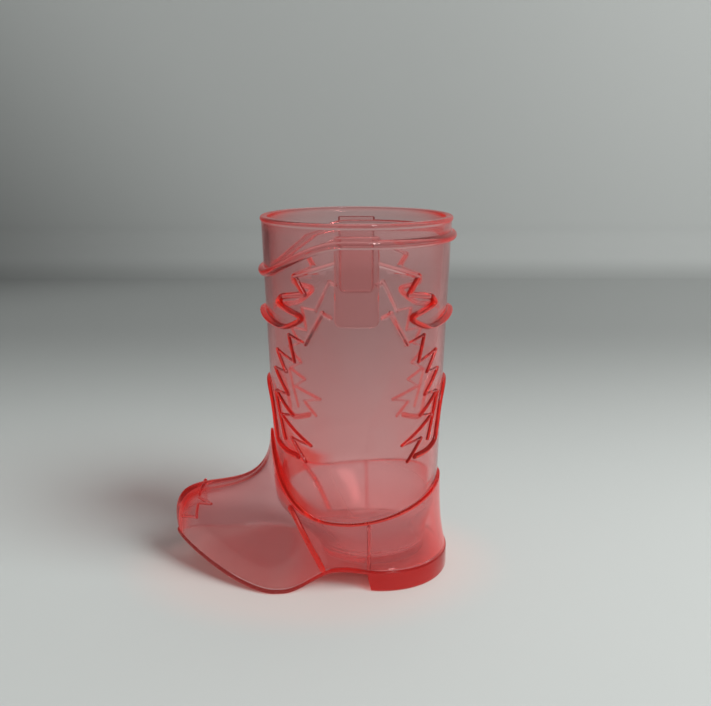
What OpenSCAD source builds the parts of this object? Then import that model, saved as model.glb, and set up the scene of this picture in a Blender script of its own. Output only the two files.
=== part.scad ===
// Boot shot glass: a tapered cup plugged into a hollow western-boot foot, on a sole with a heel.
// The toe points towards -X. The origin is on the table, under the middle of the whole glass.

/* [Cup] */
// Height from the table to the lip
glass_h = 76; // [70:0.5:90]
// Outer diameter of the shaft at the mouth
mouth_d = 38.5; // [37.5:0.5:41]
// Drop of the shaft's radius for each millimetre of height
shaft_taper = 0.033; // [0.025:0.001:0.036]
// Wall at the mouth
mouth_wall = 1.3; // [1:0.1:1.7]
// How far the lip stands out from the shaft
lip_out = 0.2; // [0.1:0.05:0.5]
// Height of the lip's band
lip_h = 0.6; // [0.5:0.1:2]
// Room between the plug's base and the foot's side at the waist
base_room = 1.4; // [0.5:0.1:2.5]
// How far the plug's base is set back from the shaft's axis
plug_back = 3.5; // [0:0.5:4.5]
// Wall of the plug inside the foot
plug_wall = 1.2; // [0.9:0.1:1.5]
// Thickness of the cup's floor
floor_t = 1.4; // [1:0.1:2.5]

/* [Collar and straps] */
// Drop of the collar bead below the lip at the back
collar_drop = 3.8; // [3:0.1:6]
// How much lower the collar bead is at the front
collar_dip = 7; // [4:0.5:9]
// Height of the collar bead
collar_bead_h = 1.8; // [1.2:0.1:2.4]
// How far the collar bead stands out
collar_bead_out = 1.1; // [0.6:0.1:1.5]
// Width of each pull strap
strap_w = 8.4; // [6:0.2:11]
// Length of each pull strap
strap_len = 17.2; // [12:0.2:20]
// Drop of the strap's top below the lip
strap_drop = 2.2; // [2:0.1:5]
// Thickness of each pull strap
strap_t = 0.7; // [0.4:0.1:1]

/* [Stitching] */
// Width of the bold stitching round the top
bold_w = 1.1; // [0.8:0.1:1.5]
// How far the bold stitching stands out
bold_out = 1.2; // [0.5:0.1:1.5]
// Width of the yoke, tent and bell lines
line_w = 1.2; // [0.8:0.1:1.5]
// How far the yoke, tent and bell lines stand out
line_out = 0.7; // [0.4:0.1:1]
// Width of the fine stitching
fine_w = 0.8; // [0.6:0.1:1.1]
// How far the fine stitching stands out
fine_out = 0.6; // [0.4:0.1:0.9]

/* [Foot] */
// From the shaft's axis to the tip of the sole
toe_reach = 39.3; // [36:0.1:44]
// From the shaft's axis to the back of the heel
heel_reach = 19.5; // [19:0.1:21]
// From the shaft's axis forwards to the ball of the foot
ball_x = 17; // [15:0.5:20]
// Width over the ball of the foot
ball_w = 32.2; // [30:0.2:38]
// From the shaft's axis forwards to the waist
waist_x = 2.5; // [1.5:0.5:4]
// Width of the waist
waist_w = 26.8; // [25.6:0.2:28.4]
// From the shaft's axis back to the widest part of the heel
heel_x = 5; // [3:0.5:7]
// Width of the heel
heel_w = 29.6; // [28.6:0.2:32]
// Half-width of the toe's blunt end
toe_blunt = 3; // [1.5:0.1:5]
// Wall of the foot
shell_wall = 1; // [0.9:0.1:1.5]
// Extra wall inside the top of the toe
toe_extra_wall = 0.9; // [0:0.1:1.5]
// Height of the scooped top edge at its lowest
scoop_z = 16.3; // [15:0.1:18]
// Rise of the top edge to the tongue at the front
tongue_rise = 14.2; // [8:0.2:16]
// Rise of the top edge at the back
counter_rise = 4.7; // [2:0.1:7]
// How far the foot stands out from the shaft at its top edge
collar_out = 0.6; // [0.4:0.1:0.9]
// How far the toe swells out over the sole
toe_swell = 3.2; // [1:0.1:5]
// How far the sides swell out
side_swell = 1.2; // [0:0.1:2]
// How far the counter draws in above the heel
counter_dip = 1.5; // [0:0.1:2]
// Width of the seam between the vamp and the counter
seam_w = 1.2; // [0.8:0.1:1.6]
// How far that seam stands out
seam_out = 0.7; // [0.4:0.1:1]

/* [Sole and heel] */
// Height of the heel seat, where the cup stands
seat_z = 4.5; // [4:0.1:6]
// Thickness of the sole
sole_t = 1; // [0.8:0.1:1.6]
// How far the sole stands out from the foot
welt_out = 0.3; // [0:0.05:0.6]
// Height of the sole's tip above the table
toe_spring = 6.3; // [3:0.1:8]
// From the shaft's axis back to the heel's front face
breast_x = 2.2; // [1:0.1:4]
// Slant of the heel's front face
breast_slant = 0.8; // [0:0.1:2]

/* [Fits] */
// Gap round the plug
plug_gap = 0.1; // [0.05:0.05:0.2]
// Gap between the foot's top edge and the shaft above it
edge_gap = 0.1; // [0.05:0.05:0.3]

/* [Hidden] */
$fn = 96;
// Steps along each curve of the half outline, and up the foot's outer and inner walls
outline_steps = 10;
outer_steps = 14;
inner_steps = 9;
// Steps up the plug and round it, and along a seam of the foot
plug_steps = 6;
plug_sides = 64;
seam_steps = 6;
// Depth to which raised work is rooted in the wall, and a length past any face that is cut
root = 0.5;
past = 1;

// Radius of the shaft, and of the plug that is stepped in to take the foot's wall
function shaft_r(z) = mouth_d / 2 - shaft_taper * (glass_h - z);
plug_step = shell_wall + plug_gap - collar_out;
function plug_r(z) = shaft_r(z) - plug_step;

function smooth(u) = let (v = max(0, min(1, u))) v * v * (3 - 2 * v);
function bezier(p, t) = pow(1 - t, 3) * p[0] + 3 * t * pow(1 - t, 2) * p[1]
    + 3 * t * t * (1 - t) * p[2] + t * t * t * p[3];
function bezier_tangent(p, t) = pow(1 - t, 2) * (p[1] - p[0]) + 2 * t * (1 - t) * (p[2] - p[1])
    + t * t * (p[3] - p[2]);
function unit(v) = v / norm(v);

// Half outline of the sole round the shaft's axis: toe, ball, waist, heel side, heel back
toe_sweep = 5.5;
waist_sweep = 5;
heel_sweep = 2.5;
heel_round_x = 8;
heel_round_y = 9;
half_curves = [
    [[-toe_reach, 0], [-toe_reach, toe_blunt], [-ball_x - toe_sweep, ball_w / 2], [-ball_x, ball_w / 2]],
    [[-ball_x, ball_w / 2], [-ball_x + waist_sweep, ball_w / 2], [-waist_x - waist_sweep, waist_w / 2],
        [-waist_x, waist_w / 2]],
    [[-waist_x, waist_w / 2], [-waist_x + heel_sweep, waist_w / 2], [heel_x - heel_sweep, heel_w / 2],
        [heel_x, heel_w / 2]],
    [[heel_x, heel_w / 2], [heel_x + heel_round_x, heel_w / 2], [heel_reach, heel_round_y],
        [heel_reach, 0]]
];
half_outline = [for (c = half_curves) for (i = [0 : outline_steps - 1]) bezier(c, i / outline_steps)];
half_count = len(half_outline);
outline = concat(
    half_outline,
    [[heel_reach, 0]],
    [for (i = [half_count - 1 : -1 : 1]) [half_outline[i][0], -half_outline[i][1]]]
);

// Top of the sole in side view: flat under the heel, down the shank to the ball, up to the toe
shank_ahead = 1.5;
ball_behind = 2;
shank_top_x = -waist_x - shank_ahead;
ball_flat_x = -ball_x + ball_behind;
spring_power = 1.67;
function sole_top_curve(x) = x > ball_flat_x
    ? sole_t + (seat_z - sole_t) * smooth((x - ball_flat_x) / (shank_top_x - ball_flat_x))
    : sole_t + toe_spring * pow(max(0, (-ball_x - x) / (toe_reach - ball_x)), spring_power);
sole_profile = concat(
    [[-toe_reach - past, sole_top_curve(-toe_reach - past)]],
    [for (i = [0 : 2 * outline_steps]) let (x = half_outline[i][0]) [x, sole_top_curve(x)]],
    [[heel_reach + past, seat_z]]
);
function sole_top(x) = lookup(x, sole_profile);

// Height of the foot's top edge: a tongue at the front, low at the sides, raised at the back
tongue_start = 115;
tongue_power = 2.15;
counter_start = 110;
tongue_round = 8;
function edge_z(angle) = let (a = 180 - norm([180 - abs(angle), tongue_round]) + tongue_round) scoop_z
    + tongue_rise * pow(max(0, (a - tongue_start) / (180 - tongue_start)), tongue_power)
    + counter_rise * smooth((counter_start - a) / counter_start);
function angle_at(p) = atan2(p[1], p[0]);
function polar(r, angle, z) = [r * cos(angle), r * sin(angle), z];

// One upright section of the foot's outer face, in radius and height, from the sole to the top edge.
// It grows from a plain leaning side wall into the toe box and the instep as the sole reaches further out.
side_lift = 0.3;
toe_lift = 0.85;
side_drop = 0.35;
instep_drop = 0.88;
instep_out = 0.7;
function toe_share(foot_r, top_r) = max(0, min(1, (foot_r - top_r) / (toe_reach - top_r)));
function section(p) = let (
        angle = angle_at(p),
        foot_r = norm(p),
        foot_z = sole_top(p[0]),
        top_z = edge_z(angle) - edge_gap,
        top_r = shaft_r(top_z) + collar_out,
        share = toe_share(foot_r, top_r),
        rise = top_z - foot_z,
        back = max(0, cos(angle)),
        swell = toe_swell * share + side_swell * pow(sin(angle), 2) * (1 - share) - counter_dip * back
    ) [
        [foot_r, foot_z],
        [foot_r + swell, foot_z + rise * (side_lift + (toe_lift - side_lift) * share)],
        [top_r + instep_out * share, top_z - rise * (side_drop + (instep_drop - side_drop) * share)],
        [top_r, top_z]
    ];

// The inner face: set in by the wall, straight inwards at the sides and square to the skin at the toe,
// where the wall thickens towards a third of the way up
toe_top_peak = 27 / 4;
function inner_point(s, share, t) = let (
        d = unit(bezier_tangent(s, t)),
        lean = min(1, 2 * share),
        inward = unit((1 - lean) * [-1, 0] + lean * [-d[1], d[0]]),
        toe_top = toe_top_peak * t * pow(1 - t, 2),
        wall = shell_wall + toe_extra_wall * pow(share, 4) * toe_top
    ) bezier(s, t) + wall * inward;
function foot_ring(p) = let (
        angle = angle_at(p),
        s = section(p),
        share = toe_share(s[0][0], s[3][0]),
        inner_top = [plug_r(s[3][1]) + plug_gap, s[3][1]],
        inner_foot_r = inner_point(s, share, 0)[0],
        inner_foot = [inner_foot_r, sole_top(inner_foot_r * cos(angle))],
        outer = [for (k = [0 : outer_steps]) bezier(s, k / outer_steps)],
        inner = [for (k = [inner_steps - 1 : -1 : 1]) inner_point(s, share, k / inner_steps)]
    ) [for (q = concat(outer, [inner_top], inner, [inner_foot])) polar(q[0], angle, q[1])];

// Rings joined one to the next: all the way round, or as a row that is closed by a face at each end
module ring_loft(rings, row = false) {
    n = len(rings);
    m = len(rings[0]);
    last = (n - 1) * m;
    sides = [for (i = [0 : row ? n - 2 : n - 1]) for (j = [0 : m - 1]) let (
            a = i * m + j,
            b = i * m + (j + 1) % m,
            c = ((i + 1) % n) * m + (j + 1) % m,
            d = ((i + 1) % n) * m + j
        ) each [[a, c, b], [a, d, c]]];
    ends = [for (j = [1 : m - 2]) each [[0, j, j + 1], [last, last + j + 1, last + j]]];
    polyhedron(
        points = [for (ring = rings) each ring],
        faces = row ? concat(sides, ends) : sides
    );
}

// Below the scoop the plug narrows to a base that is set back over the heel.
// The knee is a little inside the cone above it, which starts a little below the scoop.
plug_base_r = waist_w / 2 - shell_wall - base_room;
plug_swell = 0.5;
plug_lift = 0.35;
plug_drop = 0.2;
knee_step = 0.05;
cone_foot_z = scoop_z - root;
function plug_shift(z) = plug_back * (1 - smooth((z - seat_z) / (scoop_z - seat_z)));
function plug_ring(r, z) = [
    for (i = [0 : plug_sides - 1]) polar(r, i * 360 / plug_sides, z) + [plug_shift(z), 0, 0]
];
module set_back_plug(inset, foot_z) {
    rise = scoop_z - foot_z;
    foot_r = plug_base_r - inset;
    knee_r = plug_r(scoop_z) - inset - knee_step;
    side = [
        [foot_r, foot_z],
        [foot_r + plug_swell, foot_z + rise * plug_lift],
        [knee_r, scoop_z - rise * plug_drop],
        [knee_r, scoop_z]
    ];
    ring_loft(
        [for (k = [0 : plug_steps]) let (q = bezier(side, k / plug_steps)) plug_ring(q[0], q[1])],
        row = true
    );
}

// A cone on the shaft's axis, from just below the scoop to a given height
module cone_above_scoop(foot_r, top_r, top_z) {
    rotate_extrude()
        polygon([[0, cone_foot_z], [foot_r, cone_foot_z], [top_r, top_z], [0, top_z]]);
}

module plug_body() {
    plug_top_z = scoop_z + tongue_rise + past;
    set_back_plug(0, seat_z);
    cone_above_scoop(plug_r(cone_foot_z), plug_r(plug_top_z), plug_top_z);
}

module drink_space() {
    mouth_in_r = mouth_d / 2 - mouth_wall;
    set_back_plug(plug_wall, seat_z + floor_t);
    cone_above_scoop(plug_r(scoop_z) - plug_wall, mouth_in_r, glass_h);
    translate([0, 0, glass_h - root])
        cylinder(h = root + past, r = mouth_in_r);
}

module shaft_body() {
    lip_round = 0.4;
    base_z = scoop_z - past;
    rotate_extrude()
        polygon([
            [0, base_z],
            [shaft_r(base_z), base_z],
            [shaft_r(glass_h - 2 * lip_h), glass_h - 2 * lip_h],
            [mouth_d / 2 + lip_out, glass_h - lip_h],
            [mouth_d / 2 + lip_out, glass_h - lip_round],
            [mouth_d / 2 + lip_out - lip_round, glass_h],
            [0, glass_h]
        ]);
}

// Everything below the foot's top edge, outside the plug: its top has the facets of the foot's own edge
module below_edge() {
    low_z = scoop_z - 2 * past;
    clear = collar_bead_out + past;
    ring_loft([for (p = outline) let (
            a = angle_at(p),
            z = edge_z(a),
            in_r = plug_r(z) - root,
            edge_r = shaft_r(z) + collar_out,
            out_r = edge_r + clear
        ) [
            polar(in_r, a, low_z),
            polar(out_r, a, low_z),
            polar(out_r, a, z),
            polar(edge_r, a, z),
            polar(in_r, a, z)
        ]]);
}

// The collar bead: level at the back and sides, and down to a dip at the front
bead_flat = collar_bead_h / 6;
bead_shoulder = 0.75;
module collar_bead() {
    dip_start = 95;
    dip_end = 165;
    half_h = collar_bead_h / 2;
    shoulder_out = collar_bead_out * bead_shoulder;
    ring_loft([for (i = [0 : $fn - 1]) let (
            a = 180 - i * 360 / $fn,
            z = glass_h - collar_drop - collar_dip * smooth((abs(a) - dip_start) / (dip_end - dip_start)),
            r = shaft_r(z)
        ) [
            polar(r - root, a, z - half_h),
            polar(r + shoulder_out, a, z - half_h),
            polar(r + collar_bead_out, a, z - bead_flat),
            polar(r + collar_bead_out, a, z + bead_flat),
            polar(r + shoulder_out, a, z + half_h),
            polar(r - root, a, z + half_h)
        ]]);
}

// A band that lies on the shaft between two drops below the lip
module shaft_band(top_drop, bottom_drop, out) {
    high_z = glass_h - top_drop;
    low_z = glass_h - bottom_drop;
    rotate_extrude()
        polygon([
            [shaft_r(low_z) - root, low_z],
            [shaft_r(low_z) + out, low_z],
            [shaft_r(high_z) + out, high_z],
            [shaft_r(high_z) - root, high_z]
        ]);
}

module pull_straps() {
    intersection() {
        shaft_band(strap_drop, strap_drop + strap_len, strap_t);
        translate([-strap_w / 2, -mouth_d, 0])
            cube([strap_w, 2 * mouth_d, glass_h]);
    }
}

// Raised stitching on one quarter of the shaft: angles from the side line, and drops below the lip
yoke_path = [[12.5, 7.4], [38, 10.2], [31.5, 13.4], [48.5, 14.4]];
tent_path = [[15.5, 17.5], [20, 16.8], [31.5, 23]];
hook_path = [[48.5, 14.4], [51.5, 15.5], [48, 16.4], [41, 17.1], [34, 17.9], [37, 19], [48, 20.4],
    [62, 20.1], [92, 19]];
flame_path = [[31.5, 23], [44.5, 21.8], [40.5, 27.1], [57.5, 25.5], [48.5, 29.6], [61.5, 29.6],
    [47.5, 34.2], [61.5, 34.4], [44, 38.3], [56, 39], [30, 43.8], [46, 43.2], [34.5, 47.5]];
bell_path = [[92, 33.8], [80, 34.6], [71, 37.2], [66, 42], [63, 45], [54, 46.3], [41, 46.8]];
inner_path = [[63, 34.7], [57, 40.3], [53, 44]];

// The shaft's skin laid flat, in millimetres, and back again
mm_per_degree = PI * mouth_d / 360;
function laid_flat(p) = [p[0] * mm_per_degree, -p[1]];
function on_shaft(q, out) = let (z = glass_h + q[1], a = q[0] / mm_per_degree, r = shaft_r(z) + out)
    [r * sin(a), -r * cos(a), z];

// Long strokes are cut into short ones, so that they follow the round of the shaft
stroke_step = 7;
function shortened(path) = [
    for (i = [1 : len(path) - 1])
        let (n = ceil(norm(path[i] - path[i - 1]) / stroke_step))
            for (k = [0 : n - 1]) path[i - 1] + (path[i] - path[i - 1]) * k / n,
    path[len(path) - 1]
];

// Half-width vector at a point of a stroke, and its shorter length on the outside of a sharp turn.
// The crown is the part of the width that is at full height.
blunt_corner = 1.3;
crown = 0.5;
function quarter_turn(v) = [-v[1], v[0]];
function stroke_section(q, i, half_w, out) = let (
        last = len(q) - 1,
        before = unit(q[max(1, i)] - q[max(1, i) - 1]),
        after = unit(q[min(last - 1, i) + 1] - q[min(last - 1, i)]),
        sides = quarter_turn(before) + quarter_turn(after),
        across = half_w * 2 * sides / (sides * sides),
        short = min(1, blunt_corner * half_w / norm(across)),
        left_turn = before[0] * after[1] - before[1] * after[0] > 0,
        left = across * (left_turn ? 1 : short),
        right = -across * (left_turn ? short : 1)
    ) [
        on_shaft(q[i] + left, -root),
        on_shaft(q[i] + left * crown, out),
        on_shaft(q[i] + right * crown, out),
        on_shaft(q[i] + right, -root)
    ];

module stitch(path, width, out) {
    q = [for (p = shortened(path)) laid_flat(p)];
    ring_loft([for (i = [0 : len(q) - 1]) stroke_section(q, i, width / 2, out)], row = true);
}

module stitching() {
    for (front = [0, 1])
        for (side = [0, 1])
            mirror([front, 0, 0])
                mirror([0, side, 0]) {
                    stitch(yoke_path, line_w, line_out);
                    stitch(hook_path, bold_w, bold_out);
                    stitch(tent_path, line_w, line_out);
                    stitch(flame_path, fine_w, fine_out);
                    stitch(bell_path, line_w, line_out);
                    stitch(inner_path, fine_w, fine_out);
                }
}

// A point on the foot's skin, at an angle round the shaft's axis and a share of the way up, and its normal.
// Angles past the toe's middle go on along the other side.
outline_reach = [for (p = half_outline) [angle_at(p), norm(p)]];
function skin(q) = let (
        p = lookup(180 - abs(180 - q[0]), outline_reach) * [cos(q[0]), sin(q[0])],
        s = bezier(section(p), q[1])
    ) polar(s[0], q[0], s[1]);
turn_step = [0.5, 0];
climb_step = [0, 0.01];
function skin_normal(q) = unit(cross(
    skin(q + turn_step) - skin(q - turn_step),
    skin(q + climb_step) - skin(q - climb_step)
));

// A raised line on the foot's skin, along such points
module foot_line(path, width, out) {
    last = len(path) - 1;
    ring_loft([for (i = [0 : last]) let (
            at = skin(path[i]),
            along = skin(path[min(last, i + 1)]) - skin(path[max(0, i - 1)]),
            up = skin_normal(path[i]),
            side = unit(cross(up, along)) * width / 2
        ) [
            at + side - root * up,
            at + side * crown + out * up,
            at - side * crown + out * up,
            at - side - root * up
        ]], row = true);
}

// Lines on one side of the foot: the counter's seam, the side seam, and the toe cap's pointed edge
counter_seam = [[138, 0.94], [127, 0.9], [119.5, 0.55], [116.3, 0.06]];
side_seam = [[82, 0.94], [81.4, 0.65], [80.8, 0.35], [80.2, 0.06]];
toe_cap = [[178, 0.4], [174.4, 0.31], [170.6, 0.355], [173, 0.28], [170.8, 0.185], [175.6, 0.1]];
function seam_path(s) = [for (k = [0 : seam_steps]) bezier(s, k / seam_steps)];
module foot_lines() {
    for (side = [0, 1])
        mirror([0, side, 0]) {
            foot_line(seam_path(counter_seam), seam_w, seam_out);
            foot_line(seam_path(side_seam), fine_w, fine_out);
            for (i = [1 : len(toe_cap) - 1])
                foot_line([toe_cap[i - 1], toe_cap[i]], fine_w, fine_out);
        }
}

module shaft_cup() color([0.90, 0.42, 0.45, 0.6]) {
    translate([axis_x, 0, 0])
        difference() {
            union() {
                difference() {
                    union() {
                        shaft_body();
                        collar_bead();
                        pull_straps();
                        stitching();
                    }
                    below_edge();
                }
                plug_body();
            }
            drink_space();
        }
}

module foot_shell() color([0.88, 0.36, 0.38, 0.6]) {
    translate([axis_x, 0, 0]) {
        ring_loft([for (p = outline) foot_ring(p)]);
        foot_lines();
    }
}

// Side view of the sole: plate, shank and heel block in one profile
module sole_side() {
    last = len(sole_profile) - 1;
    under = [for (i = [1 : last]) sole_profile[last - i] - [0, sole_t]];
    polygon(concat(
        sole_profile,
        [[heel_reach + past, 0], [breast_x + breast_slant, 0], [breast_x, seat_z - sole_t]],
        under
    ));
}

module sole_and_heel() color([0.78, 0.16, 0.16, 0.7]) {
    translate([axis_x, 0, 0])
        intersection() {
            linear_extrude(height = glass_h)
                polygon([for (p = outline) p + welt_out * unit(p)]);
            translate([0, mouth_d, 0])
                rotate([90, 0, 0])
                    linear_extrude(height = 2 * mouth_d)
                        sole_side();
        }
}

// Place of the shaft's axis, so that the middle of the whole glass is at the origin
toe_section = section([-toe_reach, 0]);
front_reach = max(
    toe_reach + welt_out,
    max([for (k = [0 : outer_steps]) bezier(toe_section, k / outer_steps)[0]])
);
back_bead_r = shaft_r(glass_h - collar_drop) + collar_bead_out;
back_reach = max(heel_reach + welt_out, back_bead_r);
axis_x = (front_reach - back_reach) / 2;

shaft_cup();
foot_shell();
sole_and_heel();
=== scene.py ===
import math

import bmesh
import bpy
import numpy as np
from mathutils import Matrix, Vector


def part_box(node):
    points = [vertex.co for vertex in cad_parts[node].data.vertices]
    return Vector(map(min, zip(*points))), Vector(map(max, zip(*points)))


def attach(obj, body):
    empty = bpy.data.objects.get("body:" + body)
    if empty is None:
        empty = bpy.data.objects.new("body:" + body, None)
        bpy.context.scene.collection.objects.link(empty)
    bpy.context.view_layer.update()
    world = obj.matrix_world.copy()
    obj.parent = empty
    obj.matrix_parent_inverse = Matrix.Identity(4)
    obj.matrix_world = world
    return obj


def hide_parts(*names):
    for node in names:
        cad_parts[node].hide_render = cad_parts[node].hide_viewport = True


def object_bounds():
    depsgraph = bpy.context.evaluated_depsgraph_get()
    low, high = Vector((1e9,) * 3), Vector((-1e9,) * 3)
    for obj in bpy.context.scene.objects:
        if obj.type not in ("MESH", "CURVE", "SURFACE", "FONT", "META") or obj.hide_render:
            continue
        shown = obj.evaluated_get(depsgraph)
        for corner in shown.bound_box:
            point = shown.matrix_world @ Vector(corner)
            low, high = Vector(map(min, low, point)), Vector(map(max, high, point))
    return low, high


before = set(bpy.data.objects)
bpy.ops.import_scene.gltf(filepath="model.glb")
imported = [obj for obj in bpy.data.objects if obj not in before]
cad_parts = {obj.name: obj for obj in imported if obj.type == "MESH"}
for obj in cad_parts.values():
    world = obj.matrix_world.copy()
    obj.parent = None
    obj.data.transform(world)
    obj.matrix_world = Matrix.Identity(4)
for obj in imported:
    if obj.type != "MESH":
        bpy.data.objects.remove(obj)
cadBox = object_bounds()
mm = 0.001
glassH = cadBox[1].z / mm
print("frame loaded, the glass is", round(glassH, 2), "mm tall")


# Small tools for curves and grids
def smooth(u):
    # eases from 0 to 1 with level ends
    v = np.clip(u, 0, 1)
    return v * v * (3 - 2 * v)


def hump(u):
    # nil at both ends and 1 at a third: u times the square of 1 - u, over its peak of 4/27
    return 27 / 4 * u * (1 - u) ** 2


def bezier(p, t):
    # cubic curve: four corner points weighed by the powers of t and 1 - t
    s = 1 - t
    return s**3 * p[0] + 3 * t * s**2 * p[1] + 3 * t**2 * s * p[2] + t**3 * p[3]


def arc(centre, radius, startDeg, endDeg, count):
    # points on a circle between two angles
    a = np.radians(np.linspace(startDeg, endDeg, count))
    return np.stack([centre[0] + radius * np.cos(a), centre[1] + radius * np.sin(a)], -1)


def polar(r, angleDeg, z):
    # points at a radius, an angle round the axis and a height
    a = np.radians(angleDeg)
    return np.stack(np.broadcast_arrays(r * np.cos(a), r * np.sin(a), z), -1)


def fromHeel(angleDeg):
    # degrees from the heel, whichever way round
    return np.abs((np.asarray(angleDeg) + 180) % 360 - 180)


def unit(v):
    # vectors of length 1
    return v / np.linalg.norm(v, axis=-1, keepdims=True)


def gridFaces(rows, cols, closeRows=False, closeCols=False):
    # a cell joins four neighbours of the grid, and a closed way wraps round to its first line
    i = np.arange(rows if closeRows else rows - 1)[:, None]
    j = np.arange(cols if closeCols else cols - 1)[None, :]
    up, right = (i + 1) % rows, (j + 1) % cols
    corners = np.broadcast_arrays(i * cols + j, i * cols + right, up * cols + right, up * cols + j)
    return np.stack(corners, -1).reshape(-1, 4)


def grid(points, edge=0.0, frost=0.0, closeRows=False, closeCols=False):
    # a sheet of points, its faces, and two shares at each point: how much painted red glow and
    # deeper red it has, and how frosted
    faces = gridFaces(*points.shape[:2], closeRows, closeCols)
    shares = np.stack([np.broadcast_to(share, points.shape[:2]) for share in (edge, frost)], -1)
    return points, faces, shares


shareNames = ("edge", "frost")
mergeDist = 2e-7      # metres


def surfaceMesh(name, grids):
    # several closed grids, in millimetres from the shaft's axis, as one mesh with its seams merged
    starts = np.cumsum([0] + [points.shape[0] * points.shape[1] for points, _, _ in grids])
    points = np.concatenate([points.reshape(-1, 3) for points, _, _ in grids])
    faces = np.concatenate([faces + start for (_, faces, _), start in zip(grids, starts)])
    shares = np.concatenate([shares.reshape(-1, 2) for _, _, shares in grids]).astype(np.float32)
    mesh = bpy.data.meshes.new(name)
    mesh.from_pydata(((points + [axisX, 0, 0]) * mm).tolist(), [], faces.tolist())
    for i, shareName in enumerate(shareNames):
        attribute = mesh.attributes.new(shareName, "FLOAT", "POINT")
        attribute.data.foreach_set("value", shares[:, i].copy())
    bm = bmesh.new()
    bm.from_mesh(mesh)
    bmesh.ops.remove_doubles(bm, verts=bm.verts, dist=mergeDist)
    bmesh.ops.recalc_face_normals(bm, faces=bm.faces)
    bm.to_mesh(mesh)
    bm.free()
    return mesh


def linked(name, data):
    # a new object in the scene
    thing = bpy.data.objects.new(name, data)
    bpy.context.scene.collection.objects.link(thing)
    return thing


def mirrored(grids, signs):
    # a copy of each grid for each pair of signs, which x and y are multiplied by
    return [(points * [*sign, 1], faces, shares) for points, faces, shares in grids for sign in signs]


def unioned(name, body, sets):
    # the body with each set of grids joined to it in turn
    base = linked(name, surfaceMesh(name, [body]))
    added = []
    for i, grids in enumerate(sets):
        raisedName = f"{name}Raised{i}"
        raised = linked(raisedName, surfaceMesh(raisedName, grids))
        join = base.modifiers.new(f"raised{i}", "BOOLEAN")
        join.operation = "UNION"
        join.solver = "MANIFOLD"
        join.object = raised
        added.append(raised)
    whole = bpy.data.meshes.new_from_object(base.evaluated_get(bpy.context.evaluated_depsgraph_get()))
    for thing in [base, *added]:
        bpy.data.objects.remove(thing)
    return whole


# Profile of a raised line: how far its root goes into the wall, how far a soft line's sides sink,
# the root's share of the width, the turns at which its round ends get a ring, and points over its top
barShape = {"root": 0.5, "sunk": 0.05, "rootShare": 0.9, "capTurns": [90, 67, 45, 22], "arcPoints": 11}


def bar(line, normal, width, out, edge, soft=False):
    # a profile carried along a line on a surface, with round ends and a root in the wall.
    # It is half an ellipse, or for a soft bar a swell of one cosine wave.
    b = barShape
    turn = np.radians(b["capTurns"])
    caps = len(turn)
    along = unit(np.gradient(line, axis=0))
    reach = width / 2 * np.sin(turn)[:, None]
    line = np.concatenate([line[:1] - reach * along[:1], line, line[-1:] + reach[::-1] * along[-1:]])
    edge = np.broadcast_to(edge, len(normal))[:, None]
    along, normal, edge = (
        np.concatenate([np.repeat(v[:1], caps, 0), v, np.repeat(v[-1:], caps, 0)])
        for v in (along, normal, edge)
    )
    size = np.concatenate([np.cos(turn), np.ones(len(line) - 2 * caps), np.cos(turn[::-1])])[:, None]
    if soft:
        side = np.linspace(1, -1, b["arcPoints"])
        lift = (out + b["sunk"]) * (0.5 + 0.5 * np.cos(np.pi * side)) - b["sunk"]
    else:
        around = np.radians(np.linspace(0, 180, b["arcPoints"]))
        side = np.cos(around)
        lift = out * np.sin(around)
    side = np.concatenate([side, [-b["rootShare"], b["rootShare"]]]) * width / 2 * size
    lift = np.concatenate([lift, [-b["root"], -b["root"]]]) * size
    across = unit(np.cross(normal, along))
    points = line[:, None] + side[..., None] * across[:, None] + lift[..., None] * normal[:, None]
    return grid(points, edge, closeCols=True)


# Sizes that the pieces share, in millimetres from the shaft's axis, with angles in degrees from the heel.
# Names that end in Edge are shares of painted red glow, and names that end in Frost shares of frost, from 0
# to 1.
foot = {
    # outline of the sole, and how far its curves are pulled at their ends
    "toeReach": 39.3, "toeBlunt": 3, "ballX": 17, "ballW": 32.2, "waistX": 2.5, "waistW": 26.8,
    "heelX": 5, "heelW": 29.6, "heelReach": 19.5,
    "toePull": 5.5, "ballPull": 5, "waistPull": 2.5, "heelPull": 8, "backPull": 9,
    # walls and the scooped edge
    "wall": 1.0, "toeExtraWall": 0.9, "gap": 0.1, "collarOut": 0.6, "scoopZ": 16.3,
    "tongueRise": 14.2, "tongueStart": 115, "tongueRound": 8, "tonguePower": 2.15,
    "counterRise": 4.7, "counterStart": 110,
    # upright sections: swell, and places of their two middle corners as shares of the rise
    "toeSwell": 3.2, "sideSwell": 1.2, "counterDip": 1.5, "toeTopOut": 0.7,
    "lowClimb": 0.3, "toeLowClimb": 0.55, "topDrop": 0.35, "toeTopDrop": 0.53,
    "toePower": 4, "squareGain": 2,
    # places of painted red glow, and frosted places
    "ridgeHalfW": 0.7, "tipHalfW": 1.8, "tipEnd": 0.45, "tipFade": 0.12, "ridgeGain": 4, "ridgeEdge": 1.0,
    "toeEdge": 0.15, "backPaintedGlow": 0.6, "backTurn": 26, "toeFrost": 0.35, "frostGain": 3,
    # points of the grid
    "columns": [84, 60, 40, 50], "sampleColumns": [200, 200, 200, 200], "outerRows": 60, "innerRows": 36,
}
sole = {
    "seatZ": 4.5, "thick": 1.0, "weltOut": 0.3, "edgeRound": 0.42, "toeSpring": 6.3, "springPower": 1.67,
    "flatBehindBall": 2, "shankBeforeWaist": 1.5, "breastX": 2.2, "breastSlant": 0.8,
    "rimEdge": 0.4, "heelEdge": 0.4, "shankEdge": 0.4, "shankFade": 9, "breastFade": 3,
    "columns": [60, 50, 60, 60], "roundPoints": 5, "acrossPoints": 15,
}
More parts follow.
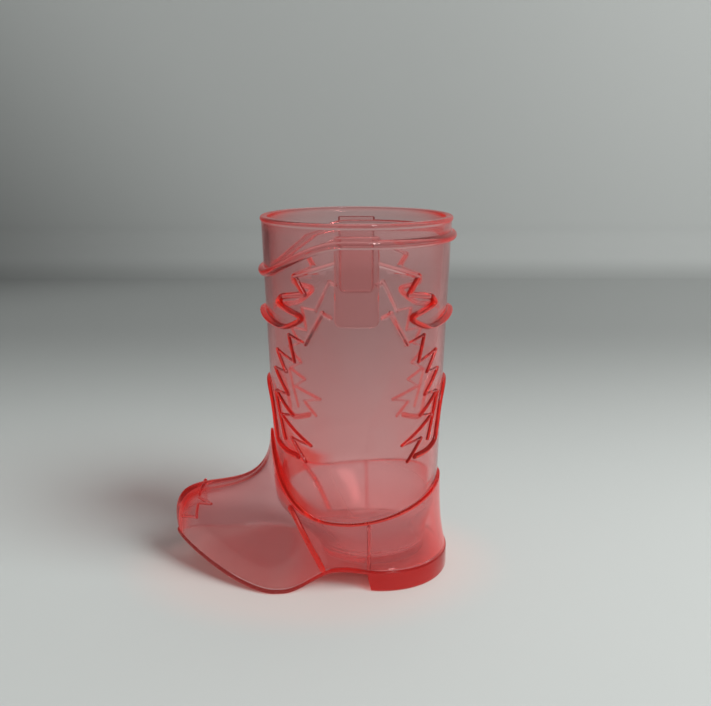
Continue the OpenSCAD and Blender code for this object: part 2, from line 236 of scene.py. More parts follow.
cup = {
    # shaft, lip and plug
    "mouthD": 38.5, "taper": 0.033, "mouthWall": 1.3,
    "lipOut": 0.2, "lipH": 0.6, "lipRoundIn": 0.35, "lipRoundOut": 0.5,
    "floorT": 1.4, "floorRound": 1.2, "plugWall": 1.2, "plugBack": 3.5, "plugSwell": 0.5,
    "baseRoom": 1.4, "baseLean": 0.35, "kneeLean": 0.2,
    # places of painted red glow, and frosted places, which get a painted pale sheen
    "lipEdge": 0.15, "lipEndPaintedGlow": 0.9, "lipPower": 6, "innerEndPaintedGlow": 0.22, "innerPower": 12,
    "baseEdge": 0.1, "baseStart": 2, "baseFade": 5, "tongueEdge": 0.8, "coverStart": 110, "coverTurn": 40,
    "bandW": 3.0, "bandFade": 0.8, "bandStart": 105, "bandTurn": 25,
    "frontFrost": 0.4, "frostTurn": 130, "frostFade": 30,
    # points of the grid
    "columns": 288, "wallRows": 64, "innerRows": 22, "plugRows": 16, "stepRows": 8, "lipRows": 8,
    "roundRows": 7, "rimRows": 6, "floorRows": 6,
}
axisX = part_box("sole_and_heel")[1].x / mm - foot["heelReach"] - sole["weltOut"]
plugStep = foot["wall"] + foot["gap"] - foot["collarOut"]
seatGap = 0.06      # air under the cup and the foot, where they stand on the sole
shaftAngles = np.arange(cup["columns"]) * 360 / cup["columns"]


def shaftR(z):
    # the shaft is a cone, widest at the mouth
    return cup["mouthD"] / 2 - cup["taper"] * (glassH - z)


def edgeZ(angleDeg):
    # height of the foot's scooped edge: a tongue at the front, low sides, a rise at the back
    f = foot
    a = 180 - np.hypot(180 - fromHeel(angleDeg), f["tongueRound"]) + f["tongueRound"]
    tongue = np.clip((a - f["tongueStart"]) / (180 - f["tongueStart"]), 0, None) ** f["tonguePower"]
    back = smooth((f["counterStart"] - a) / f["counterStart"])
    return f["scoopZ"] + f["tongueRise"] * tongue + f["counterRise"] * back


def halfOutline(counts):
    # half outline of the sole as four cubics: toe to ball, to waist, to the heel's side, to its back
    f = foot
    ball, waist, heel = f["ballW"] / 2, f["waistW"] / 2, f["heelW"] / 2
    toeX, ballX, waistX = -f["toeReach"], -f["ballX"], -f["waistX"]
    heelX, backX = f["heelX"], f["heelReach"]
    curves = [
        [[toeX, 0], [toeX, f["toeBlunt"]], [ballX - f["toePull"], ball], [ballX, ball]],
        [[ballX, ball], [ballX + f["ballPull"], ball], [waistX - f["ballPull"], waist], [waistX, waist]],
        [[waistX, waist], [waistX + f["waistPull"], waist], [heelX - f["waistPull"], heel], [heelX, heel]],
        [[heelX, heel], [heelX + f["heelPull"], heel], [backX, f["backPull"]], [backX, 0]],
    ]
    steps = [np.linspace(0, 1, n, endpoint=False)[:, None] for n in counts]
    stretches = [bezier(np.array(corners, float), t) for corners, t in zip(curves, steps)]
    return np.concatenate(stretches + [np.array([[backX, 0.0]])])


def soleTop(x):
    # height of the sole's top: flat under the heel, down the shank to the ball, and up again to the toe
    f, s = foot, sole
    ballFlat = -f["ballX"] + s["flatBehindBall"]
    shankTop = -f["waistX"] - s["shankBeforeWaist"]
    shank = (s["seatZ"] - s["thick"]) * smooth((x - ballFlat) / (shankTop - ballFlat))
    toToe = np.clip((-f["ballX"] - x) / (f["toeReach"] - f["ballX"]), 0, None)
    return s["thick"] + shank + s["toeSpring"] * toToe ** s["springPower"]


# The cup: a turned wall whose outer face steps in to the plug along the foot's scooped edge
def plugCurve(inset, footZ):
    # the plug's side: a curve from its base on the heel up to the scoop, set in by the wall
    c = cup
    base = foot["waistW"] / 2 - foot["wall"] - c["baseRoom"] - inset
    knee = shaftR(foot["scoopZ"]) - plugStep - inset
    rise = foot["scoopZ"] - footZ
    corners = [
        [base, footZ], [base + c["plugSwell"], footZ + c["baseLean"] * rise],
        [knee, foot["scoopZ"] - c["kneeLean"] * rise], [knee, foot["scoopZ"]],
    ]
    return bezier(np.array(corners), np.linspace(0, 1, c["plugRows"])[:, None])


def plugShift(z):
    # the plug leans back, from the scoop down to its base over the heel
    return cup["plugBack"] * (1 - smooth((z - sole["seatZ"]) / (foot["scoopZ"] - sole["seatZ"])))


def flatDisc(startR, endR, z):
    # rows from one radius to another at one height
    r = np.linspace(startR, endR, cup["floorRows"])
    return np.stack([r, np.full_like(r, z)], -1)


def allRound(*stretches):
    # the same rows at every angle of the shaft
    rows = np.concatenate(stretches)[:, None]
    return np.broadcast_to(rows, (len(rows), cup["columns"], 2))


def cupRows():
    # rows of radius and height, in the order of a walk through the wall: out along the floor and up the
    # plug's inside, up the shaft's inside, over the rim, down the outside to the scooped edge, and down
    # the plug to its base
    c = cup
    floorZ, roundR = sole["seatZ"] + c["floorT"], c["floorRound"]
    inner = plugCurve(c["plugWall"], floorZ)
    cornerR = inner[0, 0] - roundR
    floorCorner = arc((cornerR, floorZ + roundR), roundR, -90, 0, c["roundRows"])[1:]
    inner = inner[inner[:, 1] > floorZ + roundR]
    inner[:, 0] = np.maximum(inner[:, 0], floorCorner[-1, 0])
    mouthIn, lipR = c["mouthD"] / 2 - c["mouthWall"], c["mouthD"] / 2 + c["lipOut"]
    roundIn, roundOut = c["lipRoundIn"], c["lipRoundOut"]
    rimIn = arc((mouthIn + roundIn, glassH - roundIn), roundIn, 180, 90, c["rimRows"])
    rimOut = arc((lipR - roundOut, glassH - roundOut), roundOut, 90, 0, c["roundRows"])
    innerWall = inner[-1] + (rimIn[0] - inner[-1]) * np.linspace(0, 1, c["innerRows"])[1:-1, None]
    ease = np.linspace(0, 1, c["lipRows"])
    lipZ = glassH - c["lipH"] * (1 + ease)
    lip = np.stack([lipR + (shaftR(lipZ) - lipR) * smooth(ease), lipZ], -1)
    # the outer wall's rows spread from the lip to the scooped edge, and the plug's from there to the scoop
    scoop = edgeZ(shaftAngles)
    wallZ = lip[-1, 1] + (scoop - lip[-1, 1]) * np.linspace(0, 1, c["wallRows"])[1:, None]
    stepZ = scoop + (foot["scoopZ"] - scoop) * np.linspace(0, 1, c["stepRows"])[:-1, None]
    baseZ = sole["seatZ"] + seatGap
    plug = plugCurve(0, baseZ)[::-1]
    return {
        "inside": allRound(flatDisc(0, cornerR, floorZ), floorCorner, inner),
        "innerWall": allRound(innerWall),
        "rim": allRound(rimIn, rimOut, lip),
        "wall": np.stack([shaftR(wallZ), wallZ], -1),
        "covered": np.stack([shaftR(stepZ) - plugStep, stepZ], -1),
        "base": allRound(plug, flatDisc(plug[-1, 0], 0, baseZ)[1:]),
    }


def cupShares(rows):
    # how much painted red glow and how much frost each point of the rows has
    c = cup
    turned = fromHeel(shaftAngles)
    toEnd = np.cos(np.radians(shaftAngles))
    lipEdge = c["lipEdge"] + (c["lipEndPaintedGlow"] - c["lipEdge"]) * toEnd ** c["lipPower"]
    edge = {}
    for name, row in rows.items():
        # painted glow: the lip is redder at its two ends, seen edge-on, and the plug towards its base
        z = row[..., 1]
        edge[name] = lipEdge * smooth((z - glassH + 2 * c["lipH"]) / c["lipH"])
        edge[name] += c["baseEdge"] * smooth((foot["scoopZ"] - c["baseStart"] - z) / c["baseFade"])
    # painted glow on the inside of the shaft at its two ends
    edge["innerWall"] += c["innerEndPaintedGlow"] * toEnd ** c["innerPower"]
    # painted glow: the plug is red where the foot's tongue covers it, and so is a band of the wall
    # along the tongue
    scoop = edgeZ(shaftAngles)
    slope = np.gradient(scoop) / (shaftR(scoop) * math.radians(360 / c["columns"]))
    away = (rows["wall"][..., 1] - scoop) / np.hypot(1, slope)
    band = smooth((turned - c["bandStart"]) / c["bandTurn"]) * smooth((c["bandW"] - away) / c["bandFade"])
    edge["wall"] = np.maximum(edge["wall"], c["tongueEdge"] * band)
    edge["covered"][:] = c["tongueEdge"] * smooth((turned - c["coverStart"]) / c["coverTurn"])
    # the plug's inside is frosted, and less so towards the toe, and its frost gives a painted pale sheen
    frost = {name: np.zeros_like(share) for name, share in edge.items()}
    heelward = smooth((c["frostTurn"] - turned) / c["frostFade"])
    frost["inside"][:] = c["frontFrost"] + (1 - c["frontFrost"]) * heelward
    return (np.concatenate(list(shares.values())) for shares in (edge, frost))


def cupBody():
    # the rows carried round the shaft's axis: each row's radius at each angle, shifted back below the scoop
    rows = cupRows()
    profile = np.concatenate(list(rows.values()))
    points = polar(profile[..., 0], shaftAngles, profile[..., 1])
    points[..., 0] += plugShift(profile[..., 1])
    return grid(points, *cupShares(rows), closeCols=True)


collar = {
    "drop": 3.8, "dip": 7, "dipStart": 95, "dipEnd": 165, "height": 1.8, "out": 1.1, "fullness": 0.8,
    "root": 0.5, "rootShare": 0.9, "sideEdge": 0.08, "endPaintedGlow": 1.0, "endPower": 4, "arcPoints": 13,
}


def collarBead():
    # a half-round bead carried round the shaft: level at the back and sides, dipped at the front
    c = collar
    dipped = smooth((fromHeel(shaftAngles) - c["dipStart"]) / (c["dipEnd"] - c["dipStart"]))
    z = glassH - c["drop"] - c["dip"] * dipped
    around = np.radians(np.linspace(-90, 90, c["arcPoints"]))
    lift = np.concatenate([np.sin(around), [c["rootShare"], -c["rootShare"]]]) * c["height"] / 2
    out = np.concatenate([np.cos(around) ** c["fullness"] * c["out"], [-c["root"], -c["root"]]])
    points = polar(shaftR(z)[:, None] + out, shaftAngles[:, None], z[:, None] + lift)
    # painted glow: the bead is redder towards its two ends, seen edge-on
    toEnd = np.cos(np.radians(shaftAngles)) ** c["endPower"]
    edge = c["sideEdge"] + (c["endPaintedGlow"] - c["sideEdge"]) * toEnd
    return grid(points, edge[:, None], closeRows=True, closeCols=True)


strap = {
    "width": 8.4, "length": 17.2, "drop": 2.2, "thick": 0.7, "edgeRound": 0.35, "corner": 1.4, "root": 0.5,
    "wholeEdge": 0.1, "topRows": 5, "bandRows": 30, "cornerRows": 9, "columns": 25,
}


def pullStrap(side):
    # a flat band that follows the shaft: rounded at its edges and lower corners, sunk at both ends
    s = strap
    quarter = np.pi / 2
    down = np.concatenate([
        s["edgeRound"] * (1 - np.cos(np.linspace(0, quarter, s["topRows"]))),
        np.linspace(s["edgeRound"], s["length"] - s["corner"], s["bandRows"])[1:],
        s["length"] - s["corner"] * (1 - np.sin(np.linspace(0, quarter, s["cornerRows"])[1:])),
    ])
    z = glassH - s["drop"] - down
    intoCorner = np.clip(down - (s["length"] - s["corner"]), 0, s["corner"])
    half = s["width"] / 2 - s["corner"] + np.sqrt(s["corner"] ** 2 - intoCorner**2)
    toEnd = np.minimum(down, s["length"] - down)
    endLift = np.sqrt(1 - np.clip(1 - toEnd / s["edgeRound"], 0, 1) ** 2)
    across = np.sin(np.linspace(-quarter, quarter, s["columns"]))
    toSide = half[:, None] * (1 - np.abs(across))
    lift = np.sqrt(1 - np.clip(1 - toSide / s["edgeRound"], 0, 1) ** 2)
    x = half[:, None] * across
    out = -s["root"] + (s["thick"] + s["root"]) * lift * endLift[:, None]
    # the back of the band lies in the shaft's wall
    x = np.concatenate([x, x[:, -2:0:-1]], 1)
    out = np.concatenate([out, np.full((len(z), len(across) - 2), -s["root"])], 1)
    r = shaftR(z)[:, None] + out
    points = np.stack([x, -side * np.sqrt(r**2 - x**2), np.broadcast_to(z[:, None], x.shape)], -1)
    # the whole band has a faint painted red glow
    return grid(points, s["wholeEdge"], closeCols=True)


# Raised stitching on one quarter of the shaft: degrees from the side line, and drops below the lip.
# Each kind of line has its width, how far it stands out, and its painted red glow where it is steep and
# level.
stitching = {
    "boldW": 1.1, "boldOut": 1.2, "boldEdge": 1.0, "boldLevelEdge": 0.15,
    "bellW": 1.2, "bellOut": 0.7, "bellEdge": 1.0, "bellLevelEdge": 0.85,
    "notchW": 1.2, "notchOut": 0.7, "notchEdge": 1.0, "notchLevelEdge": 0.15,
    "lineW": 1.2, "lineOut": 0.7, "lineEdge": 0.1, "lineLevelEdge": 0.015,
    "fineW": 0.65, "fineOut": 0.55, "fineEdge": 0.75, "fineLevelEdge": 0.06,
    "steepGain": 1.7, "endStart": 0.78, "endFade": 0.15,
    "step": 0.4, "leastPoints": 3, "curvePoints": 12,
    "yoke": [[12.5, 7.4], [38, 10.2]],
    "notch": [[38, 10.2], [31.5, 13.4], [48.5, 14.4]],
    "hook": [
        [48.5, 14.4], [51.5, 15.5], [48, 16.4], [41, 17.1], [34, 17.9], [37, 19], [48, 20.4], [62, 20.1],
        [90, 19],
    ],
    "tent": [[15.5, 17.5], [20, 16.8], [31.5, 23]],
    "flame": [
        [31.5, 23], [44.5, 21.8], [40.5, 27.1], [57.5, 25.5], [48.5, 29.6], [61.5, 29.6], [47.5, 34.2],
        [61.5, 34.4], [44, 38.3], [56, 39], [30, 43.8], [46, 43.2], [34.5, 47.5],
    ],
    "bell": [[41, 46.8], [54, 46.3], [63, 45], [66, 42], [71, 37.2], [80, 34.6], [90, 33.8]],
    "inner": [[63, 34.7], [57, 40.3], [53, 44]],
}
mmPerDegree = math.pi * cup["mouthD"] / 360


def curved(path):
    # a smooth line through the points: each stretch is a cubic that leans at its ends as the chord
    # between the neighbours does
    p = np.array(path, float)
    lean = np.gradient(p, axis=0) / 3
    t = np.linspace(0, 1, stitching["curvePoints"], endpoint=False)[None, :, None]
    corners = [p[:-1, None], (p[:-1] + lean[:-1])[:, None], (p[1:] - lean[1:])[:, None], p[1:, None]]
    return np.concatenate([bezier(corners, t).reshape(-1, 2), p[-1:]])


def overFront(path):
    # the same line on to the far side, mirrored at 90 degrees from the side line
    p = np.array(path, float)
    return np.concatenate([p, (p * [-1, 1] + [180, 0])[-2::-1]])


def shaftBar(path, kind, soft=False):
    # a bar along a line on the shaft, which is laid flat in millimetres and cut into short steps
    s = stitching
    flat = np.array(path, float) * [mmPerDegree, -1]
    length = np.concatenate([[0], np.cumsum(np.hypot(*np.diff(flat, axis=0).T))])
    at = np.linspace(0, length[-1], max(s["leastPoints"], int(length[-1] / s["step"])))
    a = np.radians(np.interp(at, length, flat[:, 0]) / mmPerDegree)
    z = glassH + np.interp(at, length, flat[:, 1])
    normal = np.stack([np.sin(a), -np.cos(a), np.zeros_like(a)], -1)
    line = normal * shaftR(z)[:, None] + z[:, None] * [0, 0, 1]
    # painted glow: steep lines are redder along their flanks, and so are lines that go round the front
    # or the back, which are seen edge-on
    steep = np.abs(np.gradient(z)) / np.hypot(np.gradient(z), np.gradient(a) * cup["mouthD"] / 2)
    atEnd = smooth((np.abs(np.sin(a)) - s["endStart"]) / s["endFade"])
    lit = np.maximum(smooth(steep * s["steepGain"]), atEnd)
    width, out, steepEdge, levelEdge = (s[kind + word] for word in ("W", "Out", "Edge", "LevelEdge"))
    return bar(line, normal, width, out, levelEdge + (steepEdge - levelEdge) * lit, soft)


def raisedStitching():
    # three sets whose bars don't touch within a set: curved lines, and even and odd straight strokes
    s = stitching
    frontBack = [(1, 1), (-1, 1)]
    quarters = [(1, 1), (-1, 1), (1, -1), (-1, -1)]
    hook = shaftBar(curved(overFront(s["hook"])), "bold")
    bell = shaftBar(curved(overFront(s["bell"])), "bell")
    inner = shaftBar(curved(s["inner"]), "fine")
    sets = [mirrored([hook, bell], frontBack) + mirrored([inner], quarters), [], []]
    for name, kind, soft in (
        ("yoke", "line", True), ("notch", "notch", False), ("tent", "line", True), ("flame", "fine", False)
    ):
        for i in range(len(s[name]) - 1):
            # the flame's level strokes are soft too, and the notch starts where the yoke ends
            stroke = shaftBar(s[name][i:i + 2], kind, soft or (name == "flame" and i % 2 == 0))
            sets[1 + (i + (name == "notch")) % 2] += mirrored([stroke], quarters)
    return sets


# The foot: upright sections at each point of the sole's outline, from the sole to the scooped edge
def footSection(angle):
    # four corner points, as radius and height, at each angle round the shaft's axis, and how near the
    # section is to the toe
    f = foot
    outline = halfOutline(f["sampleColumns"])
    outlineAngle = np.degrees(np.arctan2(outline[:, 1], outline[:, 0]))
    footR = np.interp(np.abs(angle), outlineAngle[::-1], np.hypot(*outline.T)[::-1])
    footZ = soleTop(footR * np.cos(np.radians(angle))) + seatGap
    topZ = edgeZ(angle) - f["gap"]
    topR = shaftR(topZ) + f["collarOut"]
    toe = np.clip((footR - topR) / (f["toeReach"] - topR), 0, 1)
    rise = topZ - footZ
    swell = f["toeSwell"] * toe + f["sideSwell"] * np.sin(np.radians(angle)) ** 2 * (1 - toe)
    swell = swell - f["counterDip"] * np.clip(np.cos(np.radians(angle)), 0, None)
    corners = [
        [footR, footZ],
        [footR + swell, footZ + rise * (f["lowClimb"] + f["toeLowClimb"] * toe)],
        [topR + f["toeTopOut"] * toe, topZ - rise * (f["topDrop"] + f["toeTopDrop"] * toe)],
        [topR, topZ],
    ]
    return toe, np.moveaxis(np.array(corners), 1, -1)


def footShares(points, angle, toe, up):
    # how much painted red glow and frost each point has, by its section's angle and its share of the way
    # up.
    # The painted glow is redder on the ridge of the instep, the thick toe and the back, and most
    # of all on the scooped edge.
    f = foot
    inside = np.arange(len(up)) >= f["outerRows"]
    tip = smooth((f["tipEnd"] - up) / f["tipFade"])
    halfW = f["ridgeHalfW"] + (f["tipHalfW"] - f["ridgeHalfW"]) * tip
    ridge = np.exp(-(points[..., 1] / halfW) ** 2) * smooth(toe * f["ridgeGain"])[:, None]
    ridge *= np.where(inside, tip, 1)
    thick = toe[:, None] ** f["toePower"] * hump(up)
    back = np.exp(-(angle / f["backTurn"]) ** 2)[:, None]
    edge = np.clip(f["ridgeEdge"] * ridge + f["toeEdge"] * thick + f["backPaintedGlow"] * back, 0, 1)
    # the scooped edge is the last two rows outside and the first one inside
    edge[:, f["outerRows"] - 2:f["outerRows"] + 1] = 1
    return edge, f["toeFrost"] * smooth(toe * f["frostGain"])[:, None] * inside


def footShell():
    # a closed section at each point of the outline: a cubic from the sole up to the scooped edge, and
    # the same cubic back down, set in by the wall
    f = foot
    half = halfOutline(f["columns"])
    outline = np.concatenate([half, half[-2:0:-1] * [1, -1]])
    angle = np.degrees(np.arctan2(outline[:, 1], outline[:, 0]))
    toe, corners = footSection(angle)
    corners = corners[:, :, None, :]
    up = np.concatenate([np.linspace(0, 1, f["outerRows"]), np.linspace(1, 0, f["innerRows"])])
    outer = bezier(corners, up[None, :f["outerRows"], None])
    # inner face: set in straight at the sides, and square to the skin at the toe, where it is thicker
    u = up[None, f["outerRows"]:, None]
    inner = bezier(corners, u)
    lean = -unit(np.gradient(inner, axis=1))
    turned = np.clip(f["squareGain"] * toe, 0, 1)[:, None, None]
    inward = unit((1 - turned) * [-1.0, 0.0] + turned * np.stack([-lean[..., 1], lean[..., 0]], -1))
    wall = f["wall"] + f["toeExtraWall"] * toe[:, None, None] ** f["toePower"] * hump(u)
    inner = inner + wall * inward
    topZ = corners[3, :, 0, 1]
    inner[:, 0] = np.stack([shaftR(topZ) - plugStep + f["gap"], topZ], -1)
    inner[:, -1, 1] = soleTop(inner[:, -1, 0] * np.cos(np.radians(angle))) + seatGap
    section = np.concatenate([outer, inner], 1)
    points = polar(section[..., 0], angle[:, None], section[..., 1])
    return grid(points, *footShares(points, angle, toe, up), closeRows=True, closeCols=True)


# Lines on one side of the foot: degrees round the shaft's axis, and shares of the way up the section,
# and each kind's share of painted red glow
seams = {
    "counter": [[138, 0.94], [127, 0.9], [119.5, 0.55], [116.3, 0.06]],
    "counterW": 1.2, "counterOut": 0.7, "counterEdge": 1.0,
    "side": [[82, 0.94], [81.4, 0.65], [80.8, 0.35], [80.2, 0.06]],
    "sideW": 0.8, "sideOut": 0.6, "sideEdge": 0.3,
    "toe": [[178, 0.4], [174.4, 0.31], [170.6, 0.355], [173, 0.28], [170.8, 0.185], [175.6, 0.1]],
    "toeW": 0.65, "toeOut": 0.5, "toeEdge": 0.35,
    "seamPoints": 30, "strokePoints": 8, "smallTurn": 0.5, "smallClimb": 0.01,
}


def footSkin(path):
    # points on the foot's outer face
    q = bezier(footSection(path[:, 0])[1], path[:, 1:])
    return polar(q[:, 0], path[:, 0], q[:, 1])


def footBar(path, kind):
    # a bar along a line on the foot, whose normal is square to a small turn and a small climb
    turn, climb = np.array([seams["smallTurn"], 0]), np.array([0, seams["smallClimb"]])
    across = footSkin(path + turn) - footSkin(path - turn)
    normal = unit(np.cross(across, footSkin(path + climb) - footSkin(path - climb)))
    return bar(footSkin(path), normal, *(seams[kind + word] for word in ("W", "Out", "Edge")))


def footSeams():
    # two sets: the curved seams with every other stroke of the toe cap, and the strokes between
    sides = [(1, 1), (1, -1)]
    t = np.linspace(0, 1, seams["seamPoints"])[:, None]
    sets = [[footBar(bezier(np.array(seams[kind]), t), kind) for kind in ("counter", "side")], []]
    toe = np.array(seams["toe"])
    t = np.linspace(0, 1, seams["strokePoints"])[:, None]
    for i in range(len(toe) - 1):
        sets[i % 2].append(footBar(toe[i] + (toe[i + 1] - toe[i]) * t, "toe"))
    return [mirrored(grids, sides) for grids in sets]


# The sole and its heel
def soleAndHeel():
    # a closed ring at each station along the half outline: across the top, down one rounded side,
    # back under the sole or the heel, and up the other side
    s = sole
    half = halfOutline(s["columns"])
    half = half + s["weltOut"] * unit(half)
    # two more stations stand at the top and at the foot of the heel's slanted front
    breast = np.array([s["breastX"], s["breastX"] + s["breastSlant"]])
    order = np.argsort(half[:, 0])
    breastY = np.interp(breast, half[order, 0], half[order, 1])
    half = np.concatenate([half, np.stack([breast, breastY], -1)])
    half = half[np.argsort(half[:, 0])]
    x = half[:, 0]
    along = np.gradient(half, axis=0)
    along[0] = [0, 1]
    along[-1] = [0, -1]
    normal = unit(np.stack([-along[:, 1], along[:, 0]], -1))
    top = soleTop(x)
    heel = np.clip((x - breast[0]) / s["breastSlant"], 0, 1)
    under = (top - s["thick"]) * (1 - heel)
    turn = np.radians(np.linspace(0, 90, s["roundPoints"]))
    inset, drop = s["edgeRound"] * (1 - np.sin(turn)), s["edgeRound"] * (1 - np.cos(turn))
    side = half[:, None] - inset[None, :, None] * normal[:, None]
    upper = np.concatenate([side, (top[:, None] - drop)[..., None]], -1)
    lower = np.concatenate([side, (under[:, None] + drop)[..., None]], -1)[:, ::-1]
    wall = np.concatenate([upper, lower], 1)
    wall[..., 1] = np.clip(wall[..., 1], 0, None)
    across = np.linspace(-1, 1, s["acrossPoints"] + 2)[1:-1, None]
    topRow, lowRow = wall[:, :1], wall[:, -1:]
    cover = topRow * [1, 0, 1] + topRow * [0, 1, 0] * across
    base = lowRow * [1, 0, 1] - lowRow * [0, 1, 0] * across
    points = np.concatenate([cover, wall, base, (wall * [1, -1, 1])[:, ::-1]], 1)
    # painted red glow on the lower edges, on the thin shank up to the heel's front,
    # and on the heel below its top
    flat, bend = s["acrossPoints"], s["roundPoints"]
    rim = np.repeat([0, 1, 0, 1, 0], [flat + bend, bend, flat, bend, bend])
    belowTop = np.repeat([0, 1], [flat, flat + 4 * bend])
    shank = smooth((x + foot["ballX"]) / s["shankFade"]) * smooth((breast[1] - x) / s["breastFade"])
    edge = np.maximum(s["rimEdge"] * rim, s["shankEdge"] * shank[:, None])
    return grid(points, np.maximum(edge, s["heelEdge"] * heel[:, None] * belowTop), closeCols=True)


# Plastic: clear, with deeper red and a red glow painted where light would have a long way through it
plastic = {
    "ior": 1.5, "clear": 0.985, "gloss": (0.9, 0.85, 0.85), "absorb": (0.965, 0.2, 0.19),
    # painted light: the deep red and the glow along the red glow share
    "paintedDeepRed": (1.0, 0.06, 0.035), "edgeTint": 1.25, "tintVary": 0.1,
    "glow": (1.0, 0.025, 0.015), "paintedGlowStrength": 0.125, "diffuseThrough": 0.7,
    "roughVary": 0.05, "edgeRough": 0.2, "frostRough": 0.3, "hazeScale": 260, "hazeDetail": 6,
    "rippleScale": 90, "rippleDetail": 1, "rippleHeight": 0.00003, "rippleSquash": (1, 1, 0.35),
    "sharpDeg": 32,
}
looks = {
    # every wall gives a faint painted glow of its own
    "cup": {
        "pale": (0.94, 0.925, 0.93), "density": 250, "rough": 0.04, "shadow": (0.65, 0.64, 0.635),
        "paintedWallGlow": (0.007, 0.0005, 0.0006), "paintedFrostSheen": (0.065, 0.055, 0.055),
    },
    "foot": {
        "pale": (0.93, 0.93, 0.94), "density": 265, "rough": 0.05, "shadow": (0.6, 0.58, 0.57),
        "paintedWallGlow": (0.018, 0.0035, 0.004), "rippleHeight": 0.00006,
    },
    "sole": {
        "pale": (0.95, 0.9, 0.89), "density": 240, "rough": 0.05, "shadow": (0.95, 0.87, 0.865),
        "paintedWallGlow": (0.028, 0.002, 0.0015), "absorb": (0.9, 0.18, 0.15),
    },
}


def addNode(tree, kind, **values):
    # a node of this kind with some inputs set, where _ stands for a space in an input's name
    node = tree.nodes.new("ShaderNode" + kind)
    for name, value in values.items():
        node.inputs[name.replace("_", " ")].default_value = value
    return node


def mouldedSurface():
    # shared effect: slow ripples left by the mould, a faint haze, and colour painted deeper along edges
    group = bpy.data.node_groups.new("mouldedSurface", "ShaderNodeTree")
    sockets = {
        "INPUT": [
            "Edge", "Frost", "Ripple Scale", "Rough", "Vary", "Edge Rough", "Frost Rough", "Edge Tint",
            "Tint Vary",
        ],
        "OUTPUT": ["Roughness", "Height", "Depth"],
    }
    for way, names in sockets.items():
        for name in names:
            group.interface.new_socket(name, in_out=way, socket_type="NodeSocketFloat")
    link = group.links.new
    given, result = group.nodes.new("NodeGroupInput"), group.nodes.new("NodeGroupOutput")
    place = addNode(group, "TexCoord")
    ripple = addNode(group, "TexNoise", Detail=plastic["rippleDetail"])
    haze = addNode(group, "TexNoise", Scale=plastic["hazeScale"], Detail=plastic["hazeDetail"])
    rough, edgeRough, frostRough, depth, clouds = (addNode(group, "Math") for _ in range(5))
    for node in (rough, edgeRough, frostRough, depth, clouds):
        node.operation = "MULTIPLY_ADD"
    # ripples are drawn out along the height
    stretch = addNode(group, "VectorMath")
    stretch.operation = "MULTIPLY"
    stretch.inputs[1].default_value = plastic["rippleSquash"]
    link(place.outputs["Object"], stretch.inputs[0])
    link(stretch.outputs[0], ripple.inputs["Vector"])
    link(place.outputs["Object"], haze.inputs["Vector"])
    link(given.outputs["Ripple Scale"], ripple.inputs["Scale"])
    for node, wires in (
        (rough, (haze.outputs["Fac"], given.outputs["Vary"], edgeRough.outputs[0])),
        (edgeRough, (given.outputs["Edge"], given.outputs["Edge Rough"], frostRough.outputs[0])),
        (frostRough, (given.outputs["Frost"], given.outputs["Frost Rough"], given.outputs["Rough"])),
        (depth, (given.outputs["Edge"], given.outputs["Edge Tint"], clouds.outputs[0])),
    ):
        for i, wire in enumerate(wires):
            link(wire, node.inputs[i])
    link(ripple.outputs["Fac"], clouds.inputs[0])
    link(given.outputs["Tint Vary"], clouds.inputs[1])
    clouds.inputs[2].default_value = 0
    link(rough.outputs[0], result.inputs["Roughness"])
    link(ripple.outputs["Fac"], result.inputs["Height"])
    link(depth.outputs[0], result.inputs["Depth"])
    return group


surfaceGroup = mouldedSurface()


def mixedColour(tree, low, high, factor):
    # a colour between two, by a mask, where the low one may come from another node
    mix = tree.nodes.new("ShaderNodeMix")
    mix.data_type = "RGBA"
    mix.inputs["B"].default_value = (*high, 1)
    if isinstance(low, bpy.types.NodeSocket):
        tree.links.new(low, mix.inputs["A"])
    else:
        mix.inputs["A"].default_value = (*low, 1)
    tree.links.new(factor, mix.inputs["Factor"])
    return mix.outputs["Result"]


